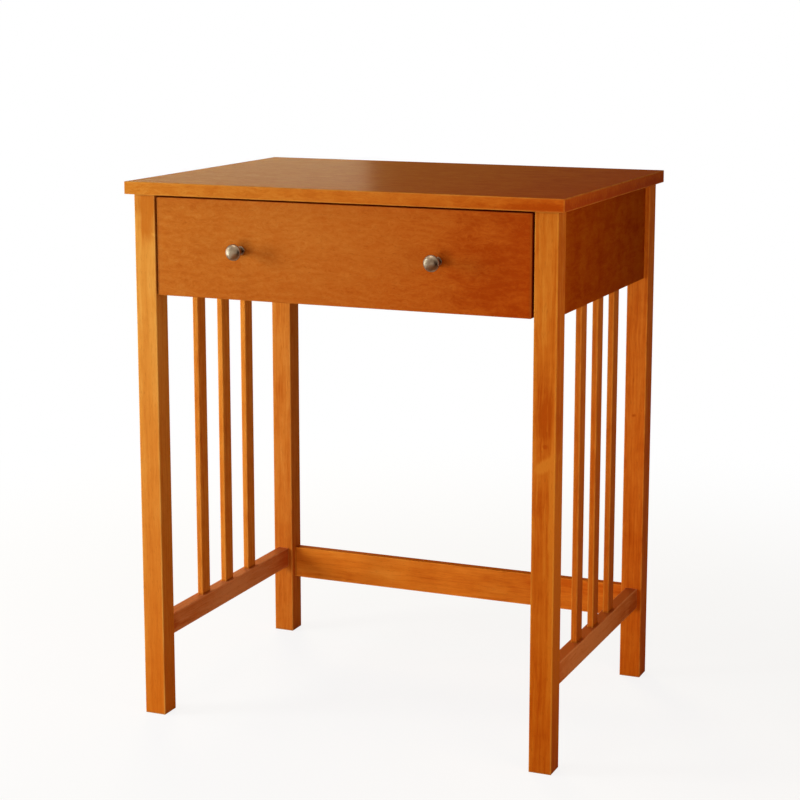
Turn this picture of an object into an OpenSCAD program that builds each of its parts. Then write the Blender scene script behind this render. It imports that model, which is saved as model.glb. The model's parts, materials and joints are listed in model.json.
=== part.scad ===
// Small writing desk: four square legs, slatted ends and one drawer on roller slides.
// Millimetres. X runs along the front, Y from the front to the back, Z up.
// The origin is on the floor, at the centre of the desk's footprint with its knobs.
// Pieces are drawn for the right-hand end, and the left-hand ones are their mirror images.

/* [Desktop] */
// Length of the desktop
top_w = 632; // [560:1:800]
// Depth of the desktop
top_d = 461; // [430:1:600]
// Height of the desktop's surface above the floor
desk_h = 762; // [700:1:800]
// Thickness of the desktop
top_t = 17.5; // [16:0.5:25]
// Overhang of the desktop past the legs at each end
over_side = 10.5; // [4:0.5:30]
// Overhang of the desktop past the front legs
over_front = 8.5; // [4:0.5:20]
// Overhang of the desktop past the rear legs
over_back = 4; // [2:0.5:20]

/* [Legs] */
// Side of the square legs
leg = 31.5; // [30:0.5:45]

/* [End frames] */
// Height of the aprons under the desktop
apron_h = 138; // [125:1:170]
// Thickness of the end aprons and the end stretchers
end_rail_t = 18; // [16:0.5:24]
// Height of the end stretchers' lower edge above the floor
stretcher_z = 108; // [60:1:200]
// Height of the end stretchers
stretcher_h = 30; // [26:1:60]
// Width of a slat, along the end of the desk
slat_w = 24; // [14:0.5:40]
// Thickness of a slat
slat_t = 8.5; // [6:0.5:12]
// Distance between the centres of neighbouring slats
slat_pitch = 74; // [45:1:100]
// Length of a slat's end that is let into the apron or the stretcher
slat_in = 8; // [5:0.5:12]

/* [Back frame] */
// Thickness of the rear apron and the rear stretcher
back_board_t = 15; // [12:0.5:18]
// Set-back of the rear boards from the rear legs' back faces
back_inset = 6; // [3:0.5:7]
// Height of the rear stretcher, measured down from the end stretchers' upper edge
back_stretcher_h = 49; // [36:1:80]

/* [Front rail] */
// Width of the hidden front rail, which lies flat under the desktop
front_rail_w = 40; // [34:1:60]
// Thickness of the hidden front rail
front_rail_t = 18; // [14:0.5:20]

/* [Drawer front] */
// Thickness of the drawer front
front_t = 18; // [15:0.5:22]
// Gap between the drawer front and each leg
front_gap = 3.5; // [1:0.5:4]
// Gap between the drawer front and the desktop
front_gap_top = 3; // [1:0.5:5]

/* [Drawer box] */
// Thickness of the drawer's sides and back
box_wall = 12; // [10:0.5:15]
// Height of the drawer's sides
box_h = 95; // [70:1:100]
// Height of the drawer's sides above the lower edge of the drawer front
box_lift = 9.5; // [7:0.5:12]
// Thickness of the drawer's bottom panel
panel_t = 4; // [3:0.5:6]
// Depth of the grooves that hold the bottom panel
groove_in = 6; // [4:0.5:7]
// Height of those grooves above the lower edge of the drawer's sides
groove_up = 12; // [11:0.5:16]

/* [Knobs] */
// Distance between the two knobs
knob_spacing = 285; // [150:1:420]
// Diameter of a knob's head
knob_d = 22.5; // [18:0.5:34]
// Length that a knob stands out from the drawer front
knob_len = 28; // [24:0.5:40]
// Height of the shallow dome on a knob's head
knob_dome = 6; // [2:0.5:6]
// Diameter of a knob's foot
knob_foot_d = 12.5; // [11:0.5:15]
// Diameter of the ring on a knob's neck
knob_ring_d = 16.5; // [13:0.5:17.5]
// Distance of that ring from the drawer front
knob_ring_out = 15; // [11:0.5:15.5]
// Diameter of a knob's neck
knob_neck_d = 8; // [7:0.5:9]

/* [Drawer slides] */
// Length of the drawer slides, which is the drawer box's depth
slide_len = 350; // [250:50:350]
// Length of the slides that stays in when the drawer is fully open
slide_hold = 90; // [75:5:150]
// Space beside the drawer box for a slide
slide_gap = 12.5; // [12.5:0.5:14]
// Thickness of the slides' sheet steel
sheet_t = 1.2; // [1:0.1:1.4]
// Height of the fixed channel, inside
channel_h = 22; // [21.5:0.5:24]
// Diameter of the roller on the drawer
drawer_roller_d = 20; // [18:0.5:20]
// Diameter of the roller on the fixed channel
cabinet_roller_d = 18; // [16:0.5:18]
// Width of the rollers
roller_w = 6.4; // [5:0.2:6.6]
// Diameter of the rollers' pins
pin_d = 4; // [3:0.5:5]

/* [Fasteners] */
// Diameter of the frame's dowels
dowel_d = 8; // [6:0.5:8]
// Depth of a dowel in a leg or an apron's face
dowel_in_face = 12; // [8:0.5:12]
// Depth of a dowel in the end of a board
dowel_in_end = 18; // [12:1:24]
// Diameter of the dowels in the drawer front
box_dowel_d = 6; // [4:0.5:7]
// Depth of those dowels in the drawer front
box_dowel_in_front = 10; // [8:0.5:12]
// Depth of those dowels in the drawer's sides
box_dowel_in_side = 14; // [10:1:20]
// Diameter of the wood screws' shanks
screw_d = 3.5; // [3:0.5:4]
// Diameter of the wood screws' heads
screw_head_d = 7; // [6:0.5:8]
// Diameter of the knobs' machine screws
knob_screw_d = 4; // [3:0.5:5]
// Leg length of the steel angle brackets under the desktop
bracket = 20; // [16:1:22]
// Width of the angle brackets
bracket_w = 16; // [12:1:24]
// Sheet thickness of the angle brackets
bracket_t = 1.5; // [1:0.1:2]
// Distance from each leg to the nearest bracket on an end apron
bracket_from_leg = 100; // [60:1:140]
// Distance between the two brackets on the rear apron
bracket_spacing = 300; // [150:1:400]

/* [Fits and edges] */
// Radius of the eased edges of the wood
ease = 1.2; // [0.4:0.1:2]
// Clearance around dowels, screws and the fixed ends of pins
fit = 0.1; // [0.05:0.05:0.15]
// Running clearance between a pin and the bore of its roller
axle_fit = 0.08; // [0.05:0.01:0.1]
// Clearance round slats and panels in their grooves, and at the ends of blind holes
seat = 0.15; // [0.1:0.05:0.3]
// Running clearance between a roller and what rolls on it
roll_gap = 0.3; // [0.2:0.05:0.4]

/* [Hidden] */

// Colours as the photograph shows them
stain = [0.74, 0.37, 0.11];
stain_dark = [0.62, 0.28, 0.09];
raw_wood = [0.83, 0.69, 0.48];
pewter = [0.58, 0.52, 0.44];
white_steel = [0.88, 0.88, 0.86];
zinc = [0.72, 0.73, 0.75];
nylon = [0.93, 0.92, 0.89];

// Facets of round pieces, steps in an eased edge and in a knob's curves
round_fn = 48;
ease_steps = 3;
curve_steps = 8;
// Margin by which a cut runs past the face it opens in
past = 0.5;

// Planes of the desktop and the legs
knob_reach = max(0, knob_len - over_front);
front_edge = -(top_d - knob_reach) / 2;
back_edge = front_edge + top_d;
under = desk_h - top_t;
leg_out = top_w / 2 - over_side;
leg_in = leg_out - leg;
leg_front = front_edge + over_front;
leg_back = back_edge - over_back;
span_front = leg_front + leg;
span_back = leg_back - leg;
mid_y = (leg_front + leg_back) / 2;

// Planes of the end rails, which are centred on the legs
rail_c = leg_out - leg / 2;
rail_in = rail_c - end_rail_t / 2;
rail_out = rail_c + end_rail_t / 2;
apron_z = under - apron_h;
stretcher_top = stretcher_z + stretcher_h;

// Planes of the rear boards
back_out = leg_back - back_inset;
back_in = back_out - back_board_t;
back_c = (back_in + back_out) / 2;
back_stretcher_z = stretcher_top - back_stretcher_h;

// Heights of the dowels in each board
apron_dowel_edge = 20;
apron_mid = (apron_z + under) / 2;
apron_dowels = [apron_z + apron_dowel_edge, apron_mid, under - apron_dowel_edge];
rear_dowel_step = (apron_h / 2 - apron_dowel_edge) / 2;
rear_apron_dowels = [apron_mid - rear_dowel_step, apron_mid + rear_dowel_step];
stretcher_dowel_edge = 8;
stretcher_dowels = [stretcher_z + stretcher_dowel_edge, stretcher_top - stretcher_dowel_edge];
back_dowel_edge = 12;
back_dowels = [back_stretcher_z + back_dowel_edge, stretcher_top - back_dowel_edge];
front_rail_z = under - front_rail_t;
front_rail_back = span_front + front_rail_w;
front_rail_dowel_gap = 20;
front_rail_dowels = [
    for (s = [-1, 1]) span_front + front_rail_w / 2 + s * front_rail_dowel_gap / 2
];

// Drawer front and drawer box
front_x = leg_in - front_gap;
front_back = leg_front + front_t;
front_top = under - front_gap_top;
front_mid = (apron_z + front_top) / 2;
box_x = leg_in - slide_gap;
box_in = box_x - box_wall;
box_back = front_back + slide_len;
box_z = apron_z + box_lift;
box_top = box_z + box_h;
panel_z = box_z + groove_up;
panel_top = panel_z + panel_t;
back_wall_z = panel_top + seat;
box_dowel_edge = 14;
box_dowels = [panel_top + box_dowel_edge, box_top - box_dowel_edge];
back_screw_edge = 18;
back_screws = [back_wall_z + back_screw_edge, box_top - back_screw_edge];
panel_screw_x = 160;
panel_screws = [-panel_screw_x, 0, panel_screw_x];

// Slides: the fixed channel on the legs' inner plane and the member on the drawer side
drawer_travel = slide_len - slide_hold;
channel_set_back = 2;
channel_front = front_back + channel_set_back;
channel_back = channel_front + slide_len;
channel_top = box_z + channel_h;
member_set_back = 1;
member_front = front_back + member_set_back;
axle_z = box_z + roll_gap + drawer_roller_d / 2;
flange_z = axle_z + cabinet_roller_d / 2 + roll_gap;
axle_from_end = 14;
cabinet_axle_y = channel_front + axle_from_end;
drawer_axle_y = box_back - axle_from_end;
flange_short = 2;
flange_back = drawer_axle_y - drawer_roller_d / 2 - flange_short;
roller_c = (box_x + leg_in) / 2;
roller_in = roller_c - roller_w / 2;
roller_out = roller_c + roller_w / 2;
lip_past = 0.3;
lip_in = roller_in - lip_past;
flange_under = 0.5;
flange_out = roller_out - flange_under;
pin_play = 0.2;
pin_head_d = 7;
pin_head_t = 0.8;
stop_h = 6;
stop_t = 3;
stop_reach = sqrt(pow(drawer_roller_d / 2, 2) - pow(axle_z - box_z - stop_h, 2));
stop_play = 0.5;
open_stop_back = drawer_axle_y - drawer_travel - stop_reach - stop_play;
shut_stop_front = drawer_axle_y + stop_reach + stop_play;
packer_h = 32;
packer_end = 0.5;
packer_z = (box_z + channel_top - packer_h) / 2;
screw_places = [0.15, 0.5, 0.85];
slide_screws = [for (p = screw_places) channel_front + p * slide_len];
member_screw_ahead = 20;
member_screws = [for (y = slide_screws) y - member_screw_ahead];
member_screw_z = box_z + 6;

// Wood screws: how far each goes into the last board, or the wood left past its tip
flat_head_h = (screw_head_d - screw_d) / 2;
pan_head_h = 2;
tip_cover = 4.5;
top_bracket_screw_l = bracket_t + top_t - tip_cover;
end_bracket_screw_l = bracket_t + end_rail_t - tip_cover;
back_bracket_screw_l = bracket_t + back_board_t - tip_cover;
bracket_hole_in = 0.6 * bracket;
rail_screw_in = 9;
rail_screw_l = front_rail_t + rail_screw_in;
rail_screw_x = 180;
slide_screw_in = 8;
slide_screw_l = sheet_t + rail_in - leg_in + slide_screw_in;
member_screw_cover = 3;
member_screw_l = sheet_t + box_wall - member_screw_cover;
back_screw_in = 16;
back_screw_l = box_wall + back_screw_in;
panel_screw_in = 11;
panel_screw_l = panel_t + panel_screw_in;
knob_screw_in = 9;
knob_screw_head_d = 8;
knob_screw_head_h = 2.4;

// Brackets under the desktop
end_brackets = [span_front + bracket_from_leg, span_back - bracket_from_leg];
back_brackets = [-bracket_spacing / 2, bracket_spacing / 2];

// One quarter of a rounded corner, as points
function corner(cx, cy, r, start) = [
    for (i = [0:ease_steps])
        let (a = start + 90 * i / ease_steps)
        [cx + r * cos(a), cy + r * sin(a)]
];

module eased_rectangle(w, h) {
    polygon(concat(
        corner(w - ease, h - ease, ease, 0),
        corner(ease, h - ease, ease, 90),
        corner(ease, ease, ease, 180),
        corner(w - ease, ease, ease, 270)
    ));
}

// Plain block between two opposite corners
module block(lo, hi) {
    translate(lo) cube(hi - lo);
}

// Boards between two opposite corners, with square ends and eased edges along X, Y or Z
module board_x(lo, hi) {
    size = hi - lo;
    translate(lo)
        rotate([90, 0, 90])
            linear_extrude(height = size.x) eased_rectangle(size.y, size.z);
}

module board_y(lo, hi) {
    size = hi - lo;
    translate([lo.x, hi.y, lo.z])
        rotate([90, 0, 0])
            linear_extrude(height = size.y) eased_rectangle(size.x, size.z);
}

module board_z(lo, hi) {
    size = hi - lo;
    translate(lo)
        linear_extrude(height = size.z) eased_rectangle(size.x, size.y);
}

// Board with all its edges eased
module slab(lo, hi) {
    intersection() {
        board_x(lo, hi);
        board_y(lo, hi);
        board_z(lo, hi);
    }
}

// Upright post with an eased foot and a square top
module post(lo, hi) {
    intersection() {
        slab(lo, hi + [0, 0, ease]);
        block(lo, hi);
    }
}

// Round rods that start at a point and run along one axis
module rod_x(at, d, l) {
    translate(at) rotate([0, 90, 0]) cylinder(d = d, h = l, $fn = round_fn);
}

module rod_y(at, d, l) {
    translate(at) rotate([-90, 0, 0]) cylinder(d = d, h = l, $fn = round_fn);
}

// The right-hand end for side 1, and its mirror image for side -1
module at_end(side) {
    mirror([side < 0 ? 1 : 0, 0, 0]) children();
}

// Flat-head wood screw along +Z, with the head's face at z = 0
module flat_screw(l) {
    cylinder(d1 = screw_head_d, d2 = screw_d, h = flat_head_h, $fn = round_fn);
    cylinder(d = screw_d, h = l - screw_d, $fn = round_fn);
    translate([0, 0, l - screw_d])
        cylinder(d1 = screw_d, d2 = screw_d / 4, h = screw_d, $fn = round_fn);
}

module flat_screw_hole(l) {
    wide = screw_head_d + 2 * fit;
    narrow = screw_d + 2 * fit;
    cylinder(d1 = wide, d2 = narrow, h = flat_head_h, $fn = round_fn);
    cylinder(d = narrow, h = l + past, $fn = round_fn);
    translate([0, 0, -past]) cylinder(d = wide, h = past, $fn = round_fn);
}

// Pan-head wood screw along +Z, with its head under z = 0
module pan_screw(l) {
    translate([0, 0, -pan_head_h]) cylinder(d = screw_head_d, h = pan_head_h, $fn = round_fn);
    cylinder(d = screw_d, h = l - screw_d, $fn = round_fn);
    translate([0, 0, l - screw_d])
        cylinder(d1 = screw_d, d2 = screw_d / 4, h = screw_d, $fn = round_fn);
}

module pan_screw_hole(l) {
    translate([0, 0, -past])
        cylinder(d = screw_d + 2 * fit, h = l + 2 * past, $fn = round_fn);
}

// Places of the fasteners: each module sets its children at every place on one end

module at_rail_screws() {
    for (x = [-rail_screw_x, 0, rail_screw_x])
        translate([x, span_front + front_rail_w / 2, front_rail_z]) children();
}

module at_slide_screws() {
    for (y = slide_screws)
        translate([leg_in - sheet_t, y, axle_z]) rotate([0, 90, 0]) children();
}

module at_member_screws() {
    for (y = member_screws)
        translate([box_x + sheet_t, y, member_screw_z]) rotate([0, -90, 0]) children();
}

module at_end_bracket_face_screws() {
    for (y = end_brackets)
        translate([rail_in - bracket_t, y, under - bracket_hole_in]) rotate([0, 90, 0]) children();
}

module at_end_bracket_top_screws() {
    for (y = end_brackets)
        translate([rail_in - bracket_hole_in, y, under - bracket_t]) children();
}

module at_back_bracket_face_screws() {
    for (x = back_brackets)
        translate([x, back_in - bracket_t, under - bracket_hole_in]) rotate([-90, 0, 0]) children();
}

module at_back_bracket_top_screws() {
    for (x = back_brackets)
        translate([x, back_in - bracket_hole_in, under - bracket_t]) children();
}

module at_back_screws() {
    for (z = back_screws)
        translate([box_x, box_back - box_wall / 2, z]) rotate([0, -90, 0]) children();
}

module at_panel_screws() {
    for (x = panel_screws)
        translate([x, box_back - box_wall / 2, panel_z]) children();
}

// Dowels, or their holes when grow is the clearance round them

module end_rail_dowels(heights, grow) {
    l = dowel_in_face + dowel_in_end - 2 * seat + 2 * grow;
    for (z = heights) {
        rod_y([rail_c, span_front - dowel_in_face + seat - grow, z], dowel_d + 2 * grow, l);
        rod_y([rail_c, span_back - dowel_in_end + seat - grow, z], dowel_d + 2 * grow, l);
    }
}

module back_board_dowels(heights, grow) {
    l = dowel_in_face + dowel_in_end - 2 * seat + 2 * grow;
    for (z = heights)
        rod_x([leg_in - dowel_in_end + seat - grow, back_c, z], dowel_d + 2 * grow, l);
}

module front_rail_end_dowels(grow) {
    l = dowel_in_face + dowel_in_end - 2 * seat + 2 * grow;
    z = front_rail_z + front_rail_t / 2;
    for (y = front_rail_dowels)
        rod_x([rail_in - dowel_in_end + seat - grow, y, z], dowel_d + 2 * grow, l);
}

module box_front_dowels(grow) {
    l = box_dowel_in_front + box_dowel_in_side - 2 * seat + 2 * grow;
    for (z = box_dowels)
        rod_y([box_x - box_wall / 2, front_back - box_dowel_in_front + seat - grow, z],
            box_dowel_d + 2 * grow, l);
}

// Desktop, legs, aprons and stretchers

module tabletop() {
    color(stain)
        difference() {
            slab([-top_w / 2, front_edge, under], [top_w / 2, back_edge, desk_h]);
            at_rail_screws() pan_screw_hole(rail_screw_l);
            at_back_bracket_top_screws() pan_screw_hole(top_bracket_screw_l);
            for (side = [-1, 1])
                at_end(side) at_end_bracket_top_screws() pan_screw_hole(top_bracket_screw_l);
        }
}

module front_leg(side) {
    color(stain)
        at_end(side)
            difference() {
                post([leg_in, leg_front, 0], [leg_out, span_front, under]);
                end_rail_dowels(apron_dowels, fit);
                end_rail_dowels(stretcher_dowels, fit);
            }
}

module rear_leg(side) {
    color(stain)
        at_end(side)
            difference() {
                post([leg_in, span_back, 0], [leg_out, leg_back, under]);
                end_rail_dowels(apron_dowels, fit);
                end_rail_dowels(stretcher_dowels, fit);
                back_board_dowels(rear_apron_dowels, fit);
                back_board_dowels(back_dowels, fit);
            }
}

// A slat, grown by the clearance when it cuts its own seat
module slat_solid(place, grow) {
    y = mid_y + place * slat_pitch;
    half = [slat_t / 2 + grow, slat_w / 2 + grow];
    low = stretcher_top - slat_in - grow;
    high = apron_z + slat_in + grow;
    board_z([rail_c - half.x, y - half.y, low], [rail_c + half.x, y + half.y, high]);
}

module slat(side, place) {
    color(stain) at_end(side) slat_solid(place, 0);
}

module slat_seats() {
    for (place = [-1, 0, 1]) slat_solid(place, seat);
}

module end_apron(side) {
    color(stain_dark)
        at_end(side)
            difference() {
                board_y([rail_in, span_front, apron_z], [rail_out, span_back, under]);
                end_rail_dowels(apron_dowels, fit);
                front_rail_end_dowels(fit);
                slat_seats();
                at_slide_screws() pan_screw_hole(slide_screw_l);
                at_end_bracket_face_screws() pan_screw_hole(end_bracket_screw_l);
            }
}

module end_stretcher(side) {
    color(stain_dark)
        at_end(side)
            difference() {
                board_y([rail_in, span_front, stretcher_z], [rail_out, span_back, stretcher_top]);
                end_rail_dowels(stretcher_dowels, fit);
                slat_seats();
            }
}

module apron_rear() {
    color(stain)
        difference() {
            board_x([-leg_in, back_in, apron_z], [leg_in, back_out, under]);
            for (side = [-1, 1]) at_end(side) back_board_dowels(rear_apron_dowels, fit);
            at_back_bracket_face_screws() pan_screw_hole(back_bracket_screw_l);
        }
}

module stretcher_rear() {
    color(stain)
        difference() {
            board_x([-leg_in, back_in, back_stretcher_z], [leg_in, back_out, stretcher_top]);
            for (side = [-1, 1]) at_end(side) back_board_dowels(back_dowels, fit);
        }
}

module front_rail() {
    color(stain_dark)
        difference() {
            board_x([-rail_in, span_front, front_rail_z], [rail_in, front_rail_back, under]);
            for (side = [-1, 1]) at_end(side) front_rail_end_dowels(fit);
            at_rail_screws() flat_screw_hole(rail_screw_l);
        }
}

module frame_dowels() {
    color(raw_wood)
        for (side = [-1, 1])
            at_end(side) {
                end_rail_dowels(apron_dowels, 0);
                end_rail_dowels(stretcher_dowels, 0);
                back_board_dowels(rear_apron_dowels, 0);
                back_board_dowels(back_dowels, 0);
                front_rail_end_dowels(0);
            }
}

// Angle brackets and the screws that hold the desktop

// Bracket with its corner at the origin, one leg down -Z and one along -X
module bracket_solid() {
    block([-bracket_t, -bracket_w / 2, -bracket], [0, bracket_w / 2, 0]);
    block([-bracket, -bracket_w / 2, -bracket_t], [0, bracket_w / 2, 0]);
}

module top_brackets() {
    color(zinc)
        difference() {
            union() {
                for (side = [-1, 1])
                    at_end(side)
                        for (y = end_brackets)
                            translate([rail_in, y, under]) bracket_solid();
                for (x = back_brackets)
                    translate([x, back_in, under]) rotate([0, 0, 90]) bracket_solid();
            }
            for (side = [-1, 1])
                at_end(side) {
                    at_end_bracket_face_screws() pan_screw_hole(bracket_t);
                    at_end_bracket_top_screws() pan_screw_hole(bracket_t);
                }
            at_back_bracket_face_screws() pan_screw_hole(bracket_t);
            at_back_bracket_top_screws() pan_screw_hole(bracket_t);
        }
}

module bracket_screws() {
    color(zinc) {
        for (side = [-1, 1])
            at_end(side) {
                at_end_bracket_face_screws() pan_screw(end_bracket_screw_l);
                at_end_bracket_top_screws() pan_screw(top_bracket_screw_l);
            }
        at_back_bracket_face_screws() pan_screw(back_bracket_screw_l);
        at_back_bracket_top_screws() pan_screw(top_bracket_screw_l);
    }
}

module rail_screws() {
    color(zinc) at_rail_screws() flat_screw(rail_screw_l);
}

// Fixed half of the slides: packer, channel, pin, screws and front roller

module slide_packer(side) {
    color(raw_wood)
        at_end(side)
            difference() {
                block([leg_in, span_front + packer_end, packer_z],
                    [rail_in, span_back - packer_end, packer_z + packer_h]);
                at_slide_screws() flat_screw_hole(slide_screw_l);
            }
}

module channel_stop(front) {
    block([roller_in, front, box_z - sheet_t / 2], [roller_out, front + stop_t, box_z + stop_h]);
}

module cabinet_slide(side) {
    color(white_steel)
        at_end(side)
            difference() {
                union() {
                    block([leg_in - sheet_t, channel_front, box_z - sheet_t],
                        [leg_in, channel_back, channel_top + sheet_t]);
                    block([lip_in, channel_front, box_z - sheet_t],
                        [leg_in, channel_back, box_z]);
                    block([lip_in, channel_front, channel_top],
                        [leg_in, channel_back, channel_top + sheet_t]);
                    channel_stop(open_stop_back - stop_t);
                    channel_stop(shut_stop_front);
                }
                at_slide_screws() flat_screw_hole(slide_screw_l);
                rod_x([leg_in - sheet_t - past, cabinet_axle_y, axle_z],
                    pin_d + 2 * fit, sheet_t + 2 * past);
            }
}

module cabinet_slide_pins() {
    color(zinc)
        for (side = [-1, 1])
            at_end(side) {
                head = roller_in - pin_play - pin_head_t;
                shoulder = roller_out + pin_play;
                rod_x([head, cabinet_axle_y, axle_z], pin_head_d, pin_head_t);
                rod_x([head, cabinet_axle_y, axle_z], pin_d, leg_in - head);
                rod_x([shoulder, cabinet_axle_y, axle_z], pin_head_d,
                    leg_in - sheet_t - shoulder);
            }
}

module cabinet_slide_screws() {
    color(zinc)
        for (side = [-1, 1]) at_end(side) at_slide_screws() flat_screw(slide_screw_l);
}

// Roller with eased rims, a web sunk on both sides and a bore, centred on its own axis
module roller_solid(d) {
    rim = 0.6;
    sunk = 0.8;
    tyre = 2.5;
    hub = 2;
    r = d / 2;
    bore = pin_d / 2 + axle_fit;
    half = roller_w / 2;
    rotate([0, 90, 0])
        rotate_extrude($fn = round_fn)
            polygon([
                [bore, -half], [bore + hub, -half], [bore + hub, sunk - half],
                [r - tyre, sunk - half], [r - tyre, -half], [r - rim, -half],
                [r, rim - half], [r, half - rim],
                [r - rim, half], [r - tyre, half], [r - tyre, half - sunk],
                [bore + hub, half - sunk], [bore + hub, half], [bore, half]
            ]);
}

module cabinet_roller(side) {
    color(nylon)
        at_end(side)
            translate([roller_c, cabinet_axle_y, axle_z]) roller_solid(cabinet_roller_d);
}

// Drawer front, box and knobs

module drawer_front() {
    color(stain)
        difference() {
            slab([-front_x, leg_front, apron_z], [front_x, front_back, front_top]);
            block([-box_in - groove_in, front_back - groove_in, panel_z - seat],
                [box_in + groove_in, front_back + past, panel_top + seat]);
            for (side = [-1, 1])
                at_end(side) {
                    box_front_dowels(fit);
                    rod_y([knob_spacing / 2, leg_front - past, front_mid],
                        knob_screw_d + 2 * fit, front_t + 2 * past);
                }
        }
}

module drawer_side(side) {
    color(raw_wood)
        at_end(side)
            difference() {
                board_y([box_in, front_back, box_z], [box_x, box_back, box_top]);
                block([box_in - past, front_back - past, panel_z - seat],
                    [box_in + groove_in, box_back + past, panel_top + seat]);
                box_front_dowels(fit);
                at_member_screws() flat_screw_hole(member_screw_l);
                at_back_screws() flat_screw_hole(back_screw_l);
            }
}

module drawer_back() {
    color(raw_wood)
        difference() {
            board_x([-box_in, box_back - box_wall, back_wall_z], [box_in, box_back, box_top]);
            for (side = [-1, 1]) at_end(side) at_back_screws() pan_screw_hole(back_screw_l);
            at_panel_screws() pan_screw_hole(panel_screw_l);
        }
}

module drawer_bottom() {
    reach = groove_in - seat;
    color(raw_wood)
        difference() {
            block([-box_in - reach, front_back - reach, panel_z],
                [box_in + reach, box_back, panel_top]);
            at_panel_screws() pan_screw_hole(panel_t);
        }
}

module drawer_dowels() {
    color(raw_wood) for (side = [-1, 1]) at_end(side) box_front_dowels(0);
}

module drawer_back_screws() {
    color(zinc) for (side = [-1, 1]) at_end(side) at_back_screws() flat_screw(back_screw_l);
}

module drawer_bottom_screws() {
    color(zinc) at_panel_screws() pan_screw(panel_screw_l);
}

// A knob's outline is a list of points: distance from its axis, distance from the drawer front

// Rounded band round a knob, between two distances from the drawer front
function knob_band(d, near, far) = [
    for (i = [0:curve_steps])
        let (a = 180 * i / curve_steps - 90, r = (far - near) / 2)
        [d / 2 - r + r * cos(a), (near + far) / 2 + r * sin(a)]
];

knob_foot_t = 2.4;
knob_ring_t = 2.6;
knob_waist = 1;
knob_plane = knob_len - knob_dome;
knob_flare_from = knob_ring_out + knob_ring_t / 2 + knob_waist;

// The underside flares from the neck to the rim
knob_flare = [
    for (i = [0:curve_steps])
        let (a = 90 * i / curve_steps)
        [
            knob_neck_d / 2 + (knob_d - knob_neck_d) / 2 * sin(a),
            knob_flare_from + (knob_plane - knob_flare_from) * (1 - cos(a))
        ]
];
// The dome closes on the axis
knob_crown = [
    for (i = [1:curve_steps])
        let (a = 90 * i / curve_steps)
        [knob_d / 2 * cos(a), knob_plane + knob_dome * sin(a)]
];
knob_outline = concat(
    [[0, 0]],
    knob_band(knob_foot_d, 0, knob_foot_t),
    [[knob_neck_d / 2, knob_foot_t], [knob_neck_d / 2, knob_ring_out - knob_ring_t / 2]],
    knob_band(knob_ring_d, knob_ring_out - knob_ring_t / 2, knob_ring_out + knob_ring_t / 2),
    [[knob_neck_d / 2, knob_ring_out + knob_ring_t / 2]],
    knob_flare,
    knob_crown
);

module knob(side) {
    color(pewter)
        at_end(side)
            translate([knob_spacing / 2, leg_front, front_mid])
                rotate([90, 0, 0])
                    difference() {
                        rotate_extrude($fn = round_fn) polygon(knob_outline);
                        translate([0, 0, -past])
                            cylinder(d = knob_screw_d + 2 * fit, h = knob_screw_in + 2 * past,
                                $fn = round_fn);
                    }
}

module knob_screws() {
    color(zinc)
        for (side = [-1, 1])
            at_end(side) {
                tip = leg_front - knob_screw_in;
                rod_y([knob_spacing / 2, tip, front_mid], knob_screw_d, front_back - tip);
                rod_y([knob_spacing / 2, front_back, front_mid],
                    knob_screw_head_d, knob_screw_head_h);
            }
}

// Moving half of the slides: member, pin, screws and rear roller

module drawer_slide(side) {
    color(white_steel)
        at_end(side)
            difference() {
                union() {
                    block([box_x, member_front, box_z - sheet_t],
                        [box_x + sheet_t, box_back, flange_z + sheet_t]);
                    block([box_in, member_front, box_z - sheet_t],
                        [box_x + sheet_t, box_back, box_z]);
                    block([box_x, member_front, flange_z],
                        [flange_out, flange_back, flange_z + sheet_t]);
                }
                at_member_screws() flat_screw_hole(member_screw_l);
                rod_x([box_x - past, drawer_axle_y, axle_z],
                    pin_d + 2 * fit, sheet_t + 2 * past);
            }
}

module drawer_slide_pins() {
    color(zinc)
        for (side = [-1, 1])
            at_end(side) {
                head = roller_out + pin_play;
                shoulder = box_x + sheet_t;
                rod_x([head, drawer_axle_y, axle_z], pin_head_d, pin_head_t);
                rod_x([box_x, drawer_axle_y, axle_z], pin_d, head + pin_head_t - box_x);
                rod_x([shoulder, drawer_axle_y, axle_z], pin_head_d,
                    roller_in - pin_play - shoulder);
            }
}

module drawer_slide_screws() {
    color(zinc)
        for (side = [-1, 1]) at_end(side) at_member_screws() flat_screw(member_screw_l);
}

module drawer_roller(side) {
    color(nylon)
        at_end(side)
            translate([roller_c, drawer_axle_y, axle_z]) roller_solid(drawer_roller_d);
}

tabletop();
front_leg(-1);  // leg_front_left
front_leg(1);  // leg_front_right
rear_leg(-1);  // leg_rear_left
rear_leg(1);  // leg_rear_right
end_apron(-1);  // apron_left
end_apron(1);  // apron_right
apron_rear();
front_rail();
end_stretcher(-1);  // stretcher_left
end_stretcher(1);  // stretcher_right
stretcher_rear();
slat(-1, -1);  // slat_left_front
slat(-1, 0);  // slat_left_middle
slat(-1, 1);  // slat_left_rear
slat(1, -1);  // slat_right_front
slat(1, 0);  // slat_right_middle
slat(1, 1);  // slat_right_rear
frame_dowels();
top_brackets();
bracket_screws();
rail_screws();
slide_packer(-1);  // slide_packer_left
slide_packer(1);  // slide_packer_right
cabinet_slide(-1);  // cabinet_slide_left
cabinet_slide(1);  // cabinet_slide_right
cabinet_slide_pins();
cabinet_slide_screws();
cabinet_roller(-1);  // cabinet_roller_left
cabinet_roller(1);  // cabinet_roller_right
drawer_front();
drawer_side(-1);  // drawer_side_left
drawer_side(1);  // drawer_side_right
drawer_back();
drawer_bottom();
drawer_dowels();
drawer_back_screws();
drawer_bottom_screws();
knob(-1);  // knob_left
knob(1);  // knob_right
knob_screws();
drawer_slide(-1);  // drawer_slide_left
drawer_slide(1);  // drawer_slide_right
drawer_slide_pins();
drawer_slide_screws();
drawer_roller(-1);  // drawer_roller_left
drawer_roller(1);  // drawer_roller_right
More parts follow.
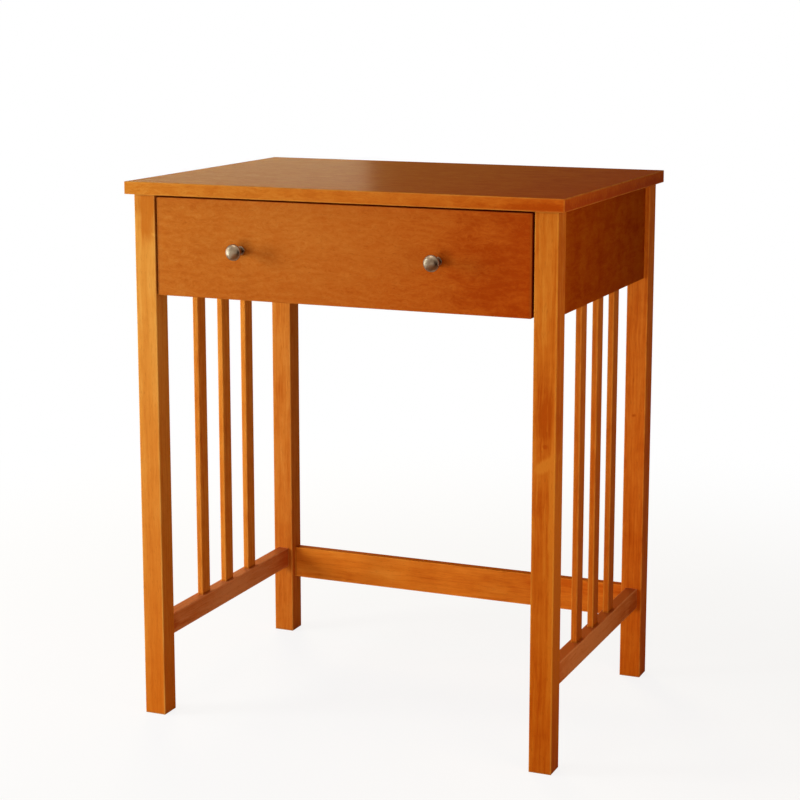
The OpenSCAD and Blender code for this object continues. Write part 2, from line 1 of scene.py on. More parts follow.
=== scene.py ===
"""The looks of a small writing desk: stained wood, pewter knobs and roller slides."""

import json
import math
import random

import bpy
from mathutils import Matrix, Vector


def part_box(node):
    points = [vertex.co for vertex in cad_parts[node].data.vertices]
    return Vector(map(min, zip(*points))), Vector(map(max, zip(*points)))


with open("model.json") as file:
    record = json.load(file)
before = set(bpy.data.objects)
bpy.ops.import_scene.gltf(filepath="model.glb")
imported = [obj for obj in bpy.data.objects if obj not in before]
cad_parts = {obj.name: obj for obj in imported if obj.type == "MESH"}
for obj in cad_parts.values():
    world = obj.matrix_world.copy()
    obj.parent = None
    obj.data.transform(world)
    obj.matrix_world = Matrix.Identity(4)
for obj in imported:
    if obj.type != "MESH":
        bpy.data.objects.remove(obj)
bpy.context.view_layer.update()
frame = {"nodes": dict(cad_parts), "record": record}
nodes = frame["nodes"]
scene = bpy.context.scene

X, Y, Z = 0, 1, 2

# Camera

# The photograph's uprights are parallel. A level camera would need a shift of -0.55 for that,
# which leaves other views empty, so this one dips and keeps only a small shift.
FRAME_PIXELS = 800
FOCAL_PIXELS = 1991.6
# Width of the sensor in millimetres
SENSOR = 36.0
CAMERA_PLACE = Vector((1.0885, -2.5793, 1.0076))
CAMERA_TURN = math.radians(22.874)
CAMERA_DIP = math.radians(10.061)
CAMERA_SHIFT = -0.06
CAMERA_REACH = 100


def make_camera():
    lens = bpy.data.cameras.new("photo_camera")
    lens.sensor_width = SENSOR
    lens.lens = FOCAL_PIXELS / FRAME_PIXELS * SENSOR
    lens.shift_y = CAMERA_SHIFT
    lens.clip_end = CAMERA_REACH
    camera = bpy.data.objects.new("photo_camera", lens)
    camera.location = CAMERA_PLACE
    camera.rotation_euler = (math.pi / 2 - CAMERA_DIP, 0, CAMERA_TURN)
    scene.collection.objects.link(camera)
    scene.camera = camera


make_camera()


# Colours

def rgb(red, green, blue):
    return (red, green, blue, 1.0)


def tinted(colour, factors):
    """The colour with its red, green and blue times the three factors, up to 1."""
    return tuple(min(1.0, a * b) for a, b in zip(colour, factors)) + (1.0,)


def scaled(colour, factor):
    return tinted(colour, (factor, factor, factor))


WHITE = rgb(1, 1, 1)


# Node trees

# A mix node's sockets for colours come after those for numbers and vectors
MIX_A, MIX_B, MIX_RESULT = 6, 7, 2


class Nodes:
    """A node tree, with short calls to add nodes. Inputs take sockets or plain values."""

    def __init__(self, tree):
        self.tree = tree

    def add(self, kind, **settings):
        node = self.tree.nodes.new(kind)
        for key, value in settings.items():
            setattr(node, key, value)
        return node

    def link(self, source, target):
        """Links a socket to an input, or sets the input where source is a plain value."""
        if isinstance(source, bpy.types.NodeSocket):
            self.tree.links.new(source, target)
        else:
            target.default_value = source

    def feed(self, node, *sources):
        """Fills a node's first inputs in order, and returns its outputs."""
        for source, target in zip(sources, node.inputs):
            self.link(source, target)
        return node.outputs

    def calc(self, operation, a, b=0.0, c=0.0, clamp=False):
        node = self.add("ShaderNodeMath", operation=operation, use_clamp=clamp)
        return self.feed(node, a, b, c)[0]

    def vector(self, operation, a, b):
        node = self.add("ShaderNodeVectorMath", operation=operation)
        return self.feed(node, a, b)["Vector"]

    def length(self, vector):
        node = self.add("ShaderNodeVectorMath", operation="LENGTH")
        return self.feed(node, vector)["Value"]

    def parts(self, vector):
        return self.feed(self.add("ShaderNodeSeparateXYZ"), vector)

    def joined(self, x, y, z):
        return self.feed(self.add("ShaderNodeCombineXYZ"), x, y, z)[0]

    def noise(self, vector, scale=1.0, detail=2.0, roughness=0.5):
        node = self.add("ShaderNodeTexNoise")
        self.link(vector, node.inputs["Vector"])
        self.link(scale, node.inputs["Scale"])
        self.link(detail, node.inputs["Detail"])
        self.link(roughness, node.inputs["Roughness"])
        return node.outputs["Fac"]

    def span(self, value, low, high, to_low=0.0, to_high=1.0):
        """Moves value from the range low to high into to_low to to_high, smoothly and clamped."""
        node = self.add("ShaderNodeMapRange", interpolation_type="SMOOTHSTEP")
        return self.feed(node, value, low, high, to_low, to_high)[0]

    def mix(self, factor, a, b, blend="MIX"):
        node = self.add("ShaderNodeMix", data_type="RGBA", blend_type=blend)
        self.link(factor, node.inputs["Factor"])
        self.link(a, node.inputs[MIX_A])
        self.link(b, node.inputs[MIX_B])
        return node.outputs[MIX_RESULT]

    def seen(self):
        """1 for what the camera sees, also in reflections and through glass, and else 0."""
        rays = self.add("ShaderNodeLightPath").outputs
        either = self.calc("MAXIMUM", rays["Is Camera Ray"], rays["Is Glossy Ray"])
        return self.calc("MAXIMUM", either, rays["Is Transmission Ray"])


class Surface(Nodes):
    """A material around one Principled shader."""

    def __init__(self, name):
        self.material = bpy.data.materials.new(name)
        self.material.use_nodes = True
        super().__init__(self.material.node_tree)
        self.tree.nodes.clear()
        self.shader = self.add("ShaderNodeBsdfPrincipled")
        self.output = self.add("ShaderNodeOutputMaterial")
        self.link(self.shader.outputs["BSDF"], self.output.inputs["Surface"])

    def position(self):
        return self.add("ShaderNodeTexCoord").outputs["Object"]

    def bump(self, height, strength, distance):
        node = self.add("ShaderNodeBump")
        node.inputs["Strength"].default_value = strength
        node.inputs["Distance"].default_value = distance
        self.link(height, node.inputs["Height"])
        self.link(node.outputs[0], self.shader.inputs["Normal"])

    def set(self, **inputs):
        """Sets or links the shader's inputs; Base_Color stands for Base Color."""
        for key, value in inputs.items():
            self.link(value, self.shader.inputs[key.replace("_", " ")])


# Looks of the wood

# Noise in bands along the grain: length along it, width across it and weight in the tone
BANDS = ("fibre", "cloud", "streak", "stripe", "figure")
# pith is how far the growth rings' middle lies from the board's, and ring is their width.
# bend and wander are how far rings and fibres stray, over patches of the size that follows.
# darker and lighter are the colour factors of the lowest and highest tone.
# wear is the edges' wear and painted highlight, gloss the least and greatest roughness, shine the
# specular level.
# drift is how much painted shade darkens and reddens the desk's lower right.
# end is how much darker the ends are, lid how much painted shade darkens upper faces, and
# sunk how deep the ends lie in their joints.
SOLID_LOOK = {
    "pith": 0.055, "ring": 0.0062, "ring_weight": 0.06,
    "bend": 0.02, "bend_size": (0.16, 0.05),
    "wander": 0.008, "wander_size": (0.07, 0.05),
    "fibre": (0.040, 0.0018, 0.75),
    "streak": (0.110, 0.0042, 0.75),
    "stripe": (0.220, 0.010, 0.50),
    "cloud": (0.050, 0.020, 0.60),
    "figure": (0.014, 0.022, 0.25),
    "pore": (0.009, 0.0009, 0.30),
    "darker": (0.78, 0.55, 0.35), "lighter": (1.14, 1.45, 2.0),
    "wear": 0.5, "gloss": (0.34, 0.48), "bump": 0.25,
    "shine": 0.0, "coat": 0.02, "coat_roughness": 0.25,
    "drift": 1.0, "end": 0.5, "lid": 0.0, "sunk": 0.0,
}
VENEER_LOOK = {
    **SOLID_LOOK,
    "pith": 0.35, "ring": 0.0085, "ring_weight": 0.07,
    "bend": 0.05, "bend_size": (0.11, 0.035),
    "wander": 0.022, "wander_size": (0.035, 0.022),
    "fibre": (0.010, 0.0020, 0.70),
    "streak": (0.024, 0.0036, 0.50),
    "stripe": (0.060, 0.010, 0.22),
    "cloud": (0.045, 0.030, 0.36),
    "figure": (0.020, 0.026, 0.20),
    "pore": (0.006, 0.0010, 0.30),
}
FRONT_LOOK = {
    **VENEER_LOOK,
    "wander": 0.030, "wander_size": (0.028, 0.020),
    "fibre": (0.007, 0.0022, 0.75), "streak": (0.017, 0.0042, 0.48),
    "drift": 1.7, "wear": 0.15,
}
APRON_LOOK = {
    **VENEER_LOOK,
    "cloud": (0.040, 0.030, 1.3), "figure": (0.014, 0.020, 0.6),
    "coat": 0.004,
}
TOP_LOOK = {
    **VENEER_LOOK,
    "gloss": (0.30, 0.42), "coat": 0.022, "coat_roughness": 0.26,
    "drift": 1.7, "end": 0.1,
}
RAIL_LOOK = {**SOLID_LOOK, "coat": 0.004, "drift": 0.45}
SLAT_LOOK = {**SOLID_LOOK, "sunk": 0.008, "end": 0.7}
RAW_LOOK = {
    **SOLID_LOOK,
    "darker": (0.74, 0.66, 0.54), "lighter": (1.15, 1.27, 1.45), "ring_weight": 0.12,
    "wear": 0.1, "gloss": (0.55, 0.7), "shine": 0.3, "coat": 0.0, "drift": 0.0,
}

# Middle colours before the painted falloff shade
FRONT_RAIL = rgb(0.62, 0.200, 0.036)
# The end rails' colour is partly a painted sheen: lighter and greyer than the other rails'
END_RAIL_AND_SHEEN = rgb(0.68, 0.235, 0.070)
# The rear rail's lighter colour is partly painted light over its left part, which lies in shade
REAR_RAIL_AND_LIGHT = rgb(0.76, 0.240, 0.022)
FRONT = rgb(0.50, 0.155, 0.019)
APRON = rgb(0.365, 0.084, 0.004)
TOP = rgb(0.575, 0.200, 0.022)
RAW = rgb(0.66, 0.48, 0.28)
# The left and right slats' colours are lit and shaded copies of one: painted light on the left slats
SLAT_LEFT_LIT = rgb(0.72, 0.268, 0.034)
SLAT_RIGHT = rgb(0.60, 0.218, 0.026)
# Middle colour, painted falloff shade and strength of the bands
LEGS = {
    # The front left leg's lighter, yellower colour is partly a painted sheen
    "leg_front_left": (rgb(0.695, 0.315, 0.052), 2.0, 0.6),
    "leg_front_right": (rgb(0.578, 0.212, 0.022), 1.1, 1.2),
    "leg_rear_left": (rgb(0.625, 0.228, 0.032), 1.4, 1.0),
    "leg_rear_right": (rgb(0.680, 0.235, 0.027), 1.0, 1.2),
}

# Patches: middle along the piece's level axis and in Z, half sizes, tilt, change of tone
MARKS = {
    "leg_front_right": [
        ((0.290, 0.417), (0.028, 0.010), math.radians(38), 0.85),
        ((0.291, 0.442), (0.005, 0.004), 0.0, -0.90),
        ((0.293, 0.470), (0.022, 0.065), 0.0, -0.48),
        ((0.286, 0.372), (0.020, 0.030), 0.0, -0.30),
        ((0.288, 0.630), (0.014, 0.080), 0.0, 0.32),
        # Painted sheen down the leg's outer side
        ((0.303, 0.260), (0.007, 0.300), 0.0, 1.00),
    ],
    "leg_front_left": [
        ((-0.285, 0.718), (0.026, 0.050), math.radians(15), -0.55),
        ((-0.275, 0.689), (0.006, 0.003), math.radians(-30), 0.35),
    ],
    "leg_rear_right": [
        ((0.288, 0.402), (0.005, 0.003), math.radians(20), -0.70),
    ],
    "drawer_front": [
        ((-0.03, 0.690), (0.20, 0.12), 0.0, 0.20),
        # Painted shade: a darker right end, where less light falls
        ((0.27, 0.675), (0.14, 0.14), 0.0, -0.40),
    ],
    "stretcher_rear": [
        # Darker right end, which takes the painted light back off where the lamps reach
        ((0.18, 0.110), (0.14, 0.08), 0.0, -0.25),
    ],
    "tabletop": [
        # Painted shade: the top and its edges darker towards the right end, where less light falls
        ((0.33, 0.753), (0.20, 0.20), 0.0, -0.15),
        ((0.30, 0.746), (0.22, 0.013), 0.0, -0.34),
    ],
    "stretcher_left": [
        # Painted sheen along the middle of the side; darker towards the ends
        ((0.02, 0.112), (0.14, 0.08), 0.0, 0.50),
        ((-0.21, 0.112), (0.06, 0.08), 0.0, -0.75),
        ((0.21, 0.112), (0.06, 0.08), 0.0, -0.45),
    ],
    "stretcher_right": [
        # Painted sheen along the middle of the side; darker towards the ends
        ((-0.03, 0.112), (0.15, 0.08), 0.0, 0.60),
        ((-0.21, 0.112), (0.06, 0.08), 0.0, -0.90),
        ((0.20, 0.112), (0.08, 0.08), 0.0, -0.50),
    ],
    "apron_right": [
        # Painted light: a lighter front end
        ((-0.18, 0.670), (0.06, 0.10), 0.0, 0.35),
    ],
}

# Grain axis, middle colour and look of each wooden piece
WOODEN = {
    "tabletop": (X, TOP, TOP_LOOK),
    "apron_left": (Y, APRON, APRON_LOOK),
    "apron_right": (Y, APRON, APRON_LOOK),
    "apron_rear": (X, APRON, APRON_LOOK),
    "front_rail": (X, FRONT_RAIL, SOLID_LOOK),
    # The stretchers' upper faces are darkened as painted shade
    "stretcher_left": (Y, END_RAIL_AND_SHEEN, {**RAIL_LOOK, "lid": 0.5}),
    "stretcher_right": (Y, END_RAIL_AND_SHEEN, {**RAIL_LOOK, "lid": 1.0}),
    "stretcher_rear": (X, REAR_RAIL_AND_LIGHT, {**RAIL_LOOK, "lid": 0.9}),
    "drawer_front": (X, FRONT, FRONT_LOOK),
    "drawer_back": (X, RAW, RAW_LOOK),
    "drawer_bottom": (X, RAW, RAW_LOOK),
    "frame_dowels": (Y, RAW, RAW_LOOK),
    "drawer_dowels": (Y, RAW, RAW_LOOK),
}
for side in ("left", "right"):
    WOODEN[f"drawer_side_{side}"] = (Y, RAW, RAW_LOOK)
    WOODEN[f"slide_packer_{side}"] = (Y, RAW, RAW_LOOK)
for leg, (plain, drift, strength) in LEGS.items():
    bands = {kind: (*SOLID_LOOK[kind][:2], SOLID_LOOK[kind][2] * strength) for kind in BANDS}
    WOODEN[leg] = (Z, plain, {**SOLID_LOOK, **bands, "drift": drift})
for row in ("front", "middle", "rear"):
    WOODEN[f"slat_left_{row}"] = (Z, SLAT_LEFT_LIT, SLAT_LOOK)
    WOODEN[f"slat_right_{row}"] = (Z, SLAT_RIGHT, SLAT_LOOK)


# Wood

# Each board reads its noise up to this far away, so that it has a figure of its own
NOISE_REACH = 40
NOISE_MIDDLE = 0.5
# Detail in octaves and roughness of the noise
PLAIN_NOISE = (2.0, 0.5)
RICH_NOISE = (3.0, 0.5)
NOISE = {"fibre": (3.0, 0.6), "cloud": RICH_NOISE, "bend_size": (2.5, 0.5), "pore": (1.0, 0.5)}
# The tone is 0 where dark, 1 where light and this in the middle
MIDDLE_TONE = 0.5
# The pith's distance varies between these shares of the look's
PITH_RANGE = (0.8, 1.3)

# How ragged a patch's rim is, and the distances, in half sizes, over which it fades
MARK_RAGGED = 1.4
MARK_FADE = (0.2, 1.05)

# A pore starts and is full at these values of its noise
PORE_FADE = (0.10, 0.24)
PORE_SHADE = 0.6
PORE_DEPTH = 0.8
BUMP_DEPTH = 0.0004

# Painted shade where the light falls off, at the middle of the floor. It rises by the change over
# the width, to the right, and falls by the change over the height, upwards.
FALLOFF_MIDDLE = 0.75
FALLOFF_CHANGE = 0.5
FALLOFF_WIDTH = 0.6
FALLOFF_HEIGHT = 0.762
# Colour factors of the painted falloff shade, darker and redder
FALLOFF_SHADE_COLOUR = rgb(0.85, 0.48, 0.20)

# Extra stain is full and gone at these distances from an end
SOAK_FULL = 0.0008
SOAK_GONE = 0.004
SOAK_SHADE = 0.6
# A face counts as an upper one between these heights of its normal
UPPER_FADE = (0.5, 0.9)
# How dark the painted shade on upper faces goes
TOP_SHADE_FACTOR = 0.75

# Edge wear and a painted highlight reach this far from an edge, in patches of this size, with at
# least this share
EDGE_WIDTH = 0.0026
WEAR_AND_HIGHLIGHT_SIZE = (0.05, 0.02)
WEAR_AND_HIGHLIGHT_FADE = (-0.2, 0.1)
LEAST_WEAR_AND_HIGHLIGHT = 0.35
WEAR_AND_HIGHLIGHT_SHADE = 1.15

POLISH_SIZE = (0.12, 0.05)
POLISH_FADE = (-0.2, 0.2)


class Board(Surface):
    """Stained wood for the board in the box low to high, with its grain along one axis.

    plain is its middle colour. look holds the sizes and weights of its figure.
    """

    def __init__(self, name, low, high, grain, plain, look, seed):
        super().__init__(name)
        self.name, self.grain, self.look = name, grain, look
        self.low, self.high = tuple(low), tuple(high)
        self.plain = plain
        self.dark = tinted(plain, look["darker"])
        self.light = tinted(plain, look["lighter"])
        self.rng = random.Random(seed)
        # Places on the desk, from the board's middle, and along, across and through its grain
        self.place = self.position()
        middle = tuple((a + b) / 2 for a, b in zip(low, high))
        self.centred = self.parts(self.vector("SUBTRACT", self.place, middle))
        self.axes = [grain, (grain + 1) % 3, (grain + 2) % 3]
        self.along, self.across, self.through = (
            self.calc("ADD", self.centred[axis], self.rng.uniform(-NOISE_REACH, NOISE_REACH))
            for axis in self.axes
        )
        # The fibres wander to either side as they run
        wander = self.calc("MULTIPLY", self.field(look["wander_size"], *PLAIN_NOISE), look["wander"])
        self.across = self.calc("ADD", self.across, wander)
        self.through = self.calc("ADD", self.through, wander)
        self.bands = {kind: self.band(kind) for kind in BANDS}

    def field(self, size, detail, roughness):
        """Noise round 0 whose features are size long and wide, in metres."""
        run, width = size
        stretched = self.joined(
            self.calc("MULTIPLY", self.along, 1 / run),
            self.calc("MULTIPLY", self.across, 1 / width),
            self.calc("MULTIPLY", self.through, 1 / width),
        )
        noise = self.noise(stretched, detail=detail, roughness=roughness)
        return self.calc("SUBTRACT", noise, NOISE_MIDDLE)

    def band(self, kind):
        return self.field(self.look[kind][:2], *NOISE.get(kind, PLAIN_NOISE))

    def rings(self):
        """Growth rings round a pith that lies outside the board, bent along the grain."""
        angle = self.rng.uniform(0, 2 * math.pi)
        pith = self.look["pith"] * self.rng.uniform(*PITH_RANGE)
        bend = self.calc("MULTIPLY", self.band("bend_size"), self.look["bend"])
        ring_at = self.joined(
            bend,
            self.calc("ADD", self.centred[self.axes[1]], pith * math.cos(angle)),
            self.calc("ADD", self.centred[self.axes[2]], pith * math.sin(angle)),
        )
        radius = self.calc("ADD", self.length(ring_at), bend)
        return self.calc("SINE", self.calc("MULTIPLY", radius, 2 * math.pi / self.look["ring"]))

    def mark(self, centre, half_size, tilt):
        """A soft slanting patch in the level axis and Z, 1 at its middle and 0 outside it."""
        axis = Y if self.grain == Y else X
        offset = [0.0, 0.0, centre[1]]
        offset[axis] = centre[0]
        parts = self.parts(self.vector("SUBTRACT", self.place, tuple(offset)))
        level, height = parts[axis], parts[Z]
        cosine, sine = math.cos(tilt), math.sin(tilt)
        run = self.calc(
            "ADD", self.calc("MULTIPLY", level, cosine), self.calc("MULTIPLY", height, sine)
        )
        rise = self.calc(
            "SUBTRACT", self.calc("MULTIPLY", height, cosine), self.calc("MULTIPLY", level, sine)
        )
        run = self.calc("MULTIPLY", run, 1 / half_size[0])
        rise = self.calc("MULTIPLY", rise, 1 / half_size[1])
        ragged = self.calc("MULTIPLY", self.bands["cloud"], MARK_RAGGED)
        distance = self.calc("ADD", self.length(self.joined(run, 0.0, rise)), ragged)
        return self.span(distance, *MARK_FADE, 1.0, 0.0)

    def tone(self):
        """Rings, bands and patches together."""
        tone = self.calc("MULTIPLY_ADD", self.rings(), self.look["ring_weight"], MIDDLE_TONE)
        for kind, band in self.bands.items():
            tone = self.calc("ADD", tone, self.calc("MULTIPLY", band, self.look[kind][2]))
        for *shape, change in MARKS.get(self.name, ()):
            tone = self.calc("ADD", tone, self.calc("MULTIPLY", self.mark(*shape), change))
        return tone

    def stained(self, tone):
        """The colour of each tone, from dark through plain to light."""
        ramp = self.add("ShaderNodeValToRGB")
        stops = ramp.color_ramp.elements
        stops[0].color, stops[1].color = self.dark, self.light
        stops.new(MIDDLE_TONE).color = self.plain
        return self.feed(ramp, tone)["Color"]

    def pores(self):
        """Short dark pores, up to their weight."""
        full = self.span(self.band("pore"), *PORE_FADE)
        return self.calc("MULTIPLY", full, self.look["pore"][2])

    def paint_falloff_shade(self, colour):
        """Painted shade: darker and redder from the desk's upper left to its lower right, where less
        light falls.
        """
        x, _, z = self.parts(self.place)
        level = self.calc("MULTIPLY_ADD", x, FALLOFF_CHANGE / FALLOFF_WIDTH, FALLOFF_MIDDLE)
        drop = self.calc("MULTIPLY", z, -FALLOFF_CHANGE / FALLOFF_HEIGHT)
        drift = self.calc("ADD", level, drop)
        drift = self.calc("MULTIPLY", drift, self.look["drift"], clamp=True)
        return self.mix(drift, colour, self.mix(1.0, colour, FALLOFF_SHADE_COLOUR, "MULTIPLY"))

    def soaked(self, colour):
        """End grain and joints take up more stain."""
        reach = (self.high[self.grain] - self.low[self.grain]) / 2
        from_end = self.calc("SUBTRACT", reach, self.calc("ABSOLUTE", self.centred[self.grain]))
        sunk = self.look["sunk"]
        soak = self.span(from_end, sunk + SOAK_FULL, sunk + SOAK_GONE, self.look["end"], 0.0)
        return self.mix(soak, colour, scaled(self.dark, SOAK_SHADE))

    def paint_top_shade(self, colour):
        """Painted shade: upper faces darker, where the light from above is blocked."""
        normal = self.add("ShaderNodeNewGeometry").outputs["Normal"]
        upward = self.span(self.parts(normal)[Z], *UPPER_FADE, 0.0, self.look["lid"])
        return self.mix(upward, colour, scaled(self.dark, TOP_SHADE_FACTOR))

    def edges(self):
        """1 on the edges of the board's box, falling to 0 a little way from them."""
        from_low = self.vector("SUBTRACT", self.place, self.low)
        to_high = self.vector("SUBTRACT", self.high, self.place)
        x, y, z = self.parts(self.vector("MINIMUM", from_low, to_high))
        # On an edge the two nearest sides are both at 0, so the second nearest one counts
        smaller = self.calc("MINIMUM", x, y)
        larger = self.calc("MAXIMUM", x, y)
        second = self.calc("MAXIMUM", smaller, self.calc("MINIMUM", larger, z))
        return self.span(second, 0.0, EDGE_WIDTH, 1.0, 0.0)

    def worn_and_highlit(self, colour):
        """Edges paler, unevenly: partly rubbed wear, partly a painted highlight on the rounded
        edges.
        """
        uneven = self.span(self.field(WEAR_AND_HIGHLIGHT_SIZE, *RICH_NOISE), *WEAR_AND_HIGHLIGHT_FADE, LEAST_WEAR_AND_HIGHLIGHT, 1.0)
        wear = self.calc("MULTIPLY", self.edges(), uneven)
        wear = self.calc("MULTIPLY", wear, self.look["wear"])
        return self.mix(wear, colour, scaled(self.light, WEAR_AND_HIGHLIGHT_SHADE))

    def finish(self):
        """Builds the colour, the grain's relief and the gloss."""
        pores = self.pores()
        colour = self.mix(pores, self.stained(self.tone()), scaled(self.dark, PORE_SHADE))
        if self.look["drift"]:
            colour = self.paint_falloff_shade(colour)
        colour = self.soaked(colour)
        if self.look["lid"]:
            colour = self.paint_top_shade(colour)
        colour = self.worn_and_highlit(colour)
        pits = self.calc("MULTIPLY", pores, PORE_DEPTH)
        relief = self.calc("SUBTRACT", self.bands["fibre"], pits)
        self.bump(relief, self.look["bump"], BUMP_DEPTH)
        polish = self.field(POLISH_SIZE, *RICH_NOISE)
        self.set(
            Base_Color=colour,
            Roughness=self.span(polish, *POLISH_FADE, *self.look["gloss"]),
            Specular_IOR_Level=self.look["shine"],
            Coat_Weight=self.look["coat"],
            Coat_Roughness=self.look["coat_roughness"],
        )
        return self.material


# Metals and plastic

# Colour, tarnish, least and greatest roughness, and scale of the flecks
METALS = {
    "pewter": (rgb(0.330, 0.235, 0.150), rgb(0.215, 0.138, 0.082), (0.29, 0.36), 110),
    "zinc_steel": (rgb(0.72, 0.73, 0.76), rgb(0.52, 0.53, 0.55), (0.25, 0.4), 300),
}
# Colour, mottling, least and greatest roughness, and scale of the mottling
COATINGS = {
    "coated_steel": (rgb(0.80, 0.80, 0.78), rgb(0.72, 0.72, 0.70), (0.35, 0.5), 90),
    "nylon": (rgb(0.82, 0.80, 0.74), rgb(0.72, 0.70, 0.64), (0.5, 0.6), 120),
}
CLOUD_DETAIL = 5.0
CLOUD_ROUGHNESS = 0.6
MOTTLE_DETAIL = 4.0
# Noise at which tarnish and mottling start and are full, and that spans the roughness
TARNISH_FADE = (0.38, 0.68)
MOTTLE_FADE = (0.3, 0.8)
POLISH_SPAN = (0.3, 0.7)
# Scratches and skin are this much finer than flecks and mottling
SCRATCH_FINENESS = 9
SKIN_FINENESS = 12
SCRATCH_BUMP = 0.12
SKIN_BUMP = 0.2
FINE_DEPTH = 0.0002
COATING_SHINE = 0.4


def metal(name, colour, tarnished, roughness, fleck):
    """Metal with patches of tarnish, fine scratches and uneven polish."""
    surface = Surface(name)
    place = surface.position()
    cloud = surface.noise(place, fleck, CLOUD_DETAIL, CLOUD_ROUGHNESS)
    scratches = surface.noise(place, fleck * SCRATCH_FINENESS)
    surface.set(
        Base_Color=surface.mix(surface.span(cloud, *TARNISH_FADE), colour, tarnished),
        Roughness=surface.span(cloud, *POLISH_SPAN, *roughness),
        Metallic=1.0,
    )
    surface.bump(scratches, SCRATCH_BUMP, FINE_DEPTH)
    return surface.material


def coated(name, colour, mottled, roughness, speckle, shine=COATING_SHINE):
    """Coated steel or plastic: an even colour with soft mottling and a fine uneven skin."""
    surface = Surface(name)
    place = surface.position()
    cloud = surface.noise(place, speckle, MOTTLE_DETAIL)
    skin = surface.noise(place, speckle * SKIN_FINENESS)
    surface.set(
        Base_Color=surface.mix(surface.span(cloud, *MOTTLE_FADE), colour, mottled),
        Roughness=surface.span(skin, *POLISH_SPAN, *roughness),
        Specular_IOR_Level=shine,
    )
    surface.bump(skin, SKIN_BUMP, FINE_DEPTH)
    return surface.material


# Dress the CAD pieces

SHARP_ANGLE = math.radians(40)
BEVEL_WIDTH = {"coated_steel": 0.00025, "zinc_steel": 0.0002, "nylon": 0.0002}
BEVEL_SEGMENTS = 2
FIRST_SEED = 11


def smooth_round(piece):
    """Shades round surfaces smooth and keeps sharp edges."""
    piece.data.polygons.foreach_set("use_smooth", [True] * len(piece.data.polygons))
    piece.data.set_sharp_from_angle(angle=SHARP_ANGLE)


def soften_edges(piece, width):
    bevel = piece.modifiers.new("soft_edges", "BEVEL")
    bevel.width = width
    bevel.segments = BEVEL_SEGMENTS
    bevel.limit_method = "ANGLE"


def dress(piece, material):
    piece.data.materials.clear()
    piece.data.materials.append(material)


def dress_all():
    """Wood by the piece's own box and grain, other materials by the record's slots."""
    shared = {slot: metal(slot, *values) for slot, values in METALS.items()}
    shared |= {slot: coated(slot, *values) for slot, values in COATINGS.items()}
    slots = {row["node"]: row["material_slot"] for row in frame["record"]["subparts"]}
    for number, (name, piece) in enumerate(sorted(nodes.items())):
        smooth_round(piece)
        if name in WOODEN:
            board = Board(name, *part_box(name), *WOODEN[name], FIRST_SEED + number)
            dress(piece, board.finish())
        else:
            slot = slots[name]
            dress(piece, shared[slot])
            if slot in BEVEL_WIDTH:
                soften_edges(piece, BEVEL_WIDTH[slot])


dress_all()


# Floor and world

# What the floor shows, and the colour that it sends back to the desk
FLOOR_COLOUR = rgb(0.86, 0.86, 0.86)
FLOOR_MOTTLE = scaled(FLOOR_COLOUR, 0.98)
FLOOR_BOUNCE = rgb(0.46, 0.38, 0.32)
FLOOR_ROUGHNESS = 0.7
# Scale and detail of its mottling
FLOOR_NOISE = (3.0, 3.0)
# Share of white that the floor shows near the desk, and the distances over which it turns
# all white
FLOOR_GLOW = 0.86
GLOW_FROM = 0.6
GLOW_TO = 1.8
FLOOR_RADIUS = 40.0
FLOOR_SIDES = 96
WORLD_LEVEL = 0.15
WORLD_TINT = rgb(1.0, 0.72, 0.50)


def make_floor():
    """Pale floor that keeps shadows near the desk and fades to white further out."""
    mesh = bpy.data.meshes.new("floor")
    turns = [2 * math.pi / FLOOR_SIDES * number for number in range(FLOOR_SIDES)]
    points = [(FLOOR_RADIUS * math.cos(turn), FLOOR_RADIUS * math.sin(turn), 0) for turn in turns]
    mesh.from_pydata(points, [], [tuple(range(FLOOR_SIDES))])
    floor = bpy.data.objects.new("floor", mesh)
    scene.collection.objects.link(floor)
    surface = Surface("floor")
    place = surface.position()
    seen = surface.seen()
    pale = surface.mix(surface.noise(place, *FLOOR_NOISE), FLOOR_COLOUR, FLOOR_MOTTLE)
    surface.set(
        Base_Color=surface.mix(seen, FLOOR_BOUNCE, pale),
        Roughness=FLOOR_ROUGHNESS,
        Specular_IOR_Level=0.0,
    )
    glow = surface.add("ShaderNodeEmission")
    glow.inputs["Strength"].default_value = 1.0
    far = surface.span(surface.length(place), GLOW_FROM, GLOW_TO, FLOOR_GLOW)
    glowing = surface.feed(
        surface.add("ShaderNodeMixShader"),
        surface.calc("MULTIPLY", far, seen),
        surface.shader.outputs[0],
        glow.outputs[0],
    )
    surface.link(glowing[0], surface.output.inputs["Surface"])
    dress(floor, surface.material)


def make_world():
    """White to the camera and in reflections, and a dimmer warm light on the desk."""
    world = bpy.data.worlds.new("studio")
    scene.world = world
    world.use_nodes = True
    sky = Nodes(world.node_tree)
    light = sky.mix(sky.seen(), scaled(WORLD_TINT, WORLD_LEVEL), WHITE)
    sky.link(light, sky.tree.nodes["Background"].inputs["Color"])


make_floor()
make_world()


# Lamps and cards

COOL = rgb(0.6, 0.85, 1)
WARM = rgb(1.0, 0.72, 0.46)
AMBER = rgb(1.0, 0.86, 0.54)
CARD_BROWN = rgb(0.06, 0.022, 0.010)
CARD_TAN = rgb(0.50, 0.26, 0.14)
CARD_MOTTLE = 0.8
CARD_ROUGHNESS = (0.8, 0.9)
CARD_SPECKLE = 4
CARD_CORNERS = ((-0.5, -0.5), (0.5, -0.5), (0.5, 0.5), (-0.5, 0.5))


def aim(thing, place, target):
    """Puts a lamp or card at place, facing target."""
    thing.location = place
    thing.rotation_euler = (Vector(target) - Vector(place)).to_track_quat("-Z", "Y").to_euler()
    scene.collection.objects.link(thing)


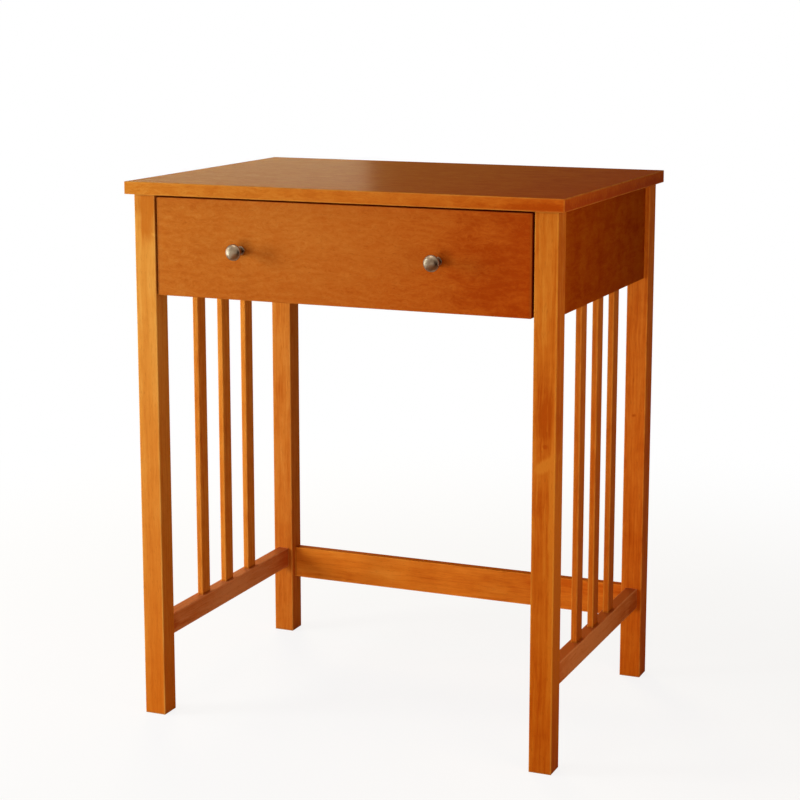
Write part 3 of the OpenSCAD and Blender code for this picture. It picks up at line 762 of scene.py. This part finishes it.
def softbox(name, place, target, size, watts, tint=WHITE, mirrored=True, spread=True):
    """A lamp panel. mirrored and spread say if it shows in gloss and lights plain colours."""
    lamp = bpy.data.lights.new(name, "AREA")
    lamp.color = tint[:3]
    lamp.shape = "RECTANGLE"
    lamp.size, lamp.size_y = size
    lamp.energy = watts
    box = bpy.data.objects.new(name, lamp)
    aim(box, place, target)
    box.visible_camera = False
    box.visible_glossy = mirrored
    box.visible_diffuse = spread


def card(name, place, target, size, colour):
    """A card that shows only in reflections, for shade on the knobs."""
    mesh = bpy.data.meshes.new(name)
    corners = [(size[0] * x, size[1] * y, 0) for x, y in CARD_CORNERS]
    mesh.from_pydata(corners, [], [(0, 1, 2, 3)])
    panel = bpy.data.objects.new(name, mesh)
    aim(panel, place, target)
    for kind in ("camera", "diffuse", "transmission", "volume_scatter", "shadow"):
        setattr(panel, f"visible_{kind}", False)
    mottled = scaled(colour, CARD_MOTTLE)
    dress(panel, coated(name, colour, mottled, CARD_ROUGHNESS, CARD_SPECKLE, shine=0.0))


# Place, target, size in metres and power in watts
softbox("key", (-1.9, -1.05, 0.84), (0.0, -0.2, 0.55), (0.6, 0.9), 28, mirrored=False)
softbox("rim", (-2.0, -0.2, 0.60), (0.0, -0.24, 0.60), (0.7, 1.6), 10.5)
softbox("glint", (-1.6, -1.0, 0.84), (-0.1, -0.25, 0.80), (0.5, 1.6), 18, COOL, spread=False)
softbox("front_fill", (0.0, -2.7, 0.5), (0, 0, 0.35), (1.2, 0.8), 9.0, mirrored=False)
softbox("low_fill", (-0.8, -2.2, 0.35), (0, 0, 0.35), (0.8, 0.6), 13, mirrored=False)
softbox("right_side", (0.85, -0.45, 0.6), (0.3, -0.1, 0.45), (0.5, 0.7), 2.7, WARM, mirrored=False)
softbox("top", (-0.35, -0.7, 2.2), (0, 0, 0.7), (0.8, 0.8), 5.2)
softbox("glare", (-1.6, 2.3, 1.05), (0, 0, 0.75), (1.0, 0.8), 56, AMBER)
card("flag", (1.35, -1.55, 0.65), (0, -0.24, 0.67), (2.0, 1.8), CARD_BROWN)
card("low_flag", (0.7, -2.0, 0.03), (0.7, -2.0, 1.0), (2.9, 3.4), CARD_TAN)

scene.view_settings.view_transform = "Standard"
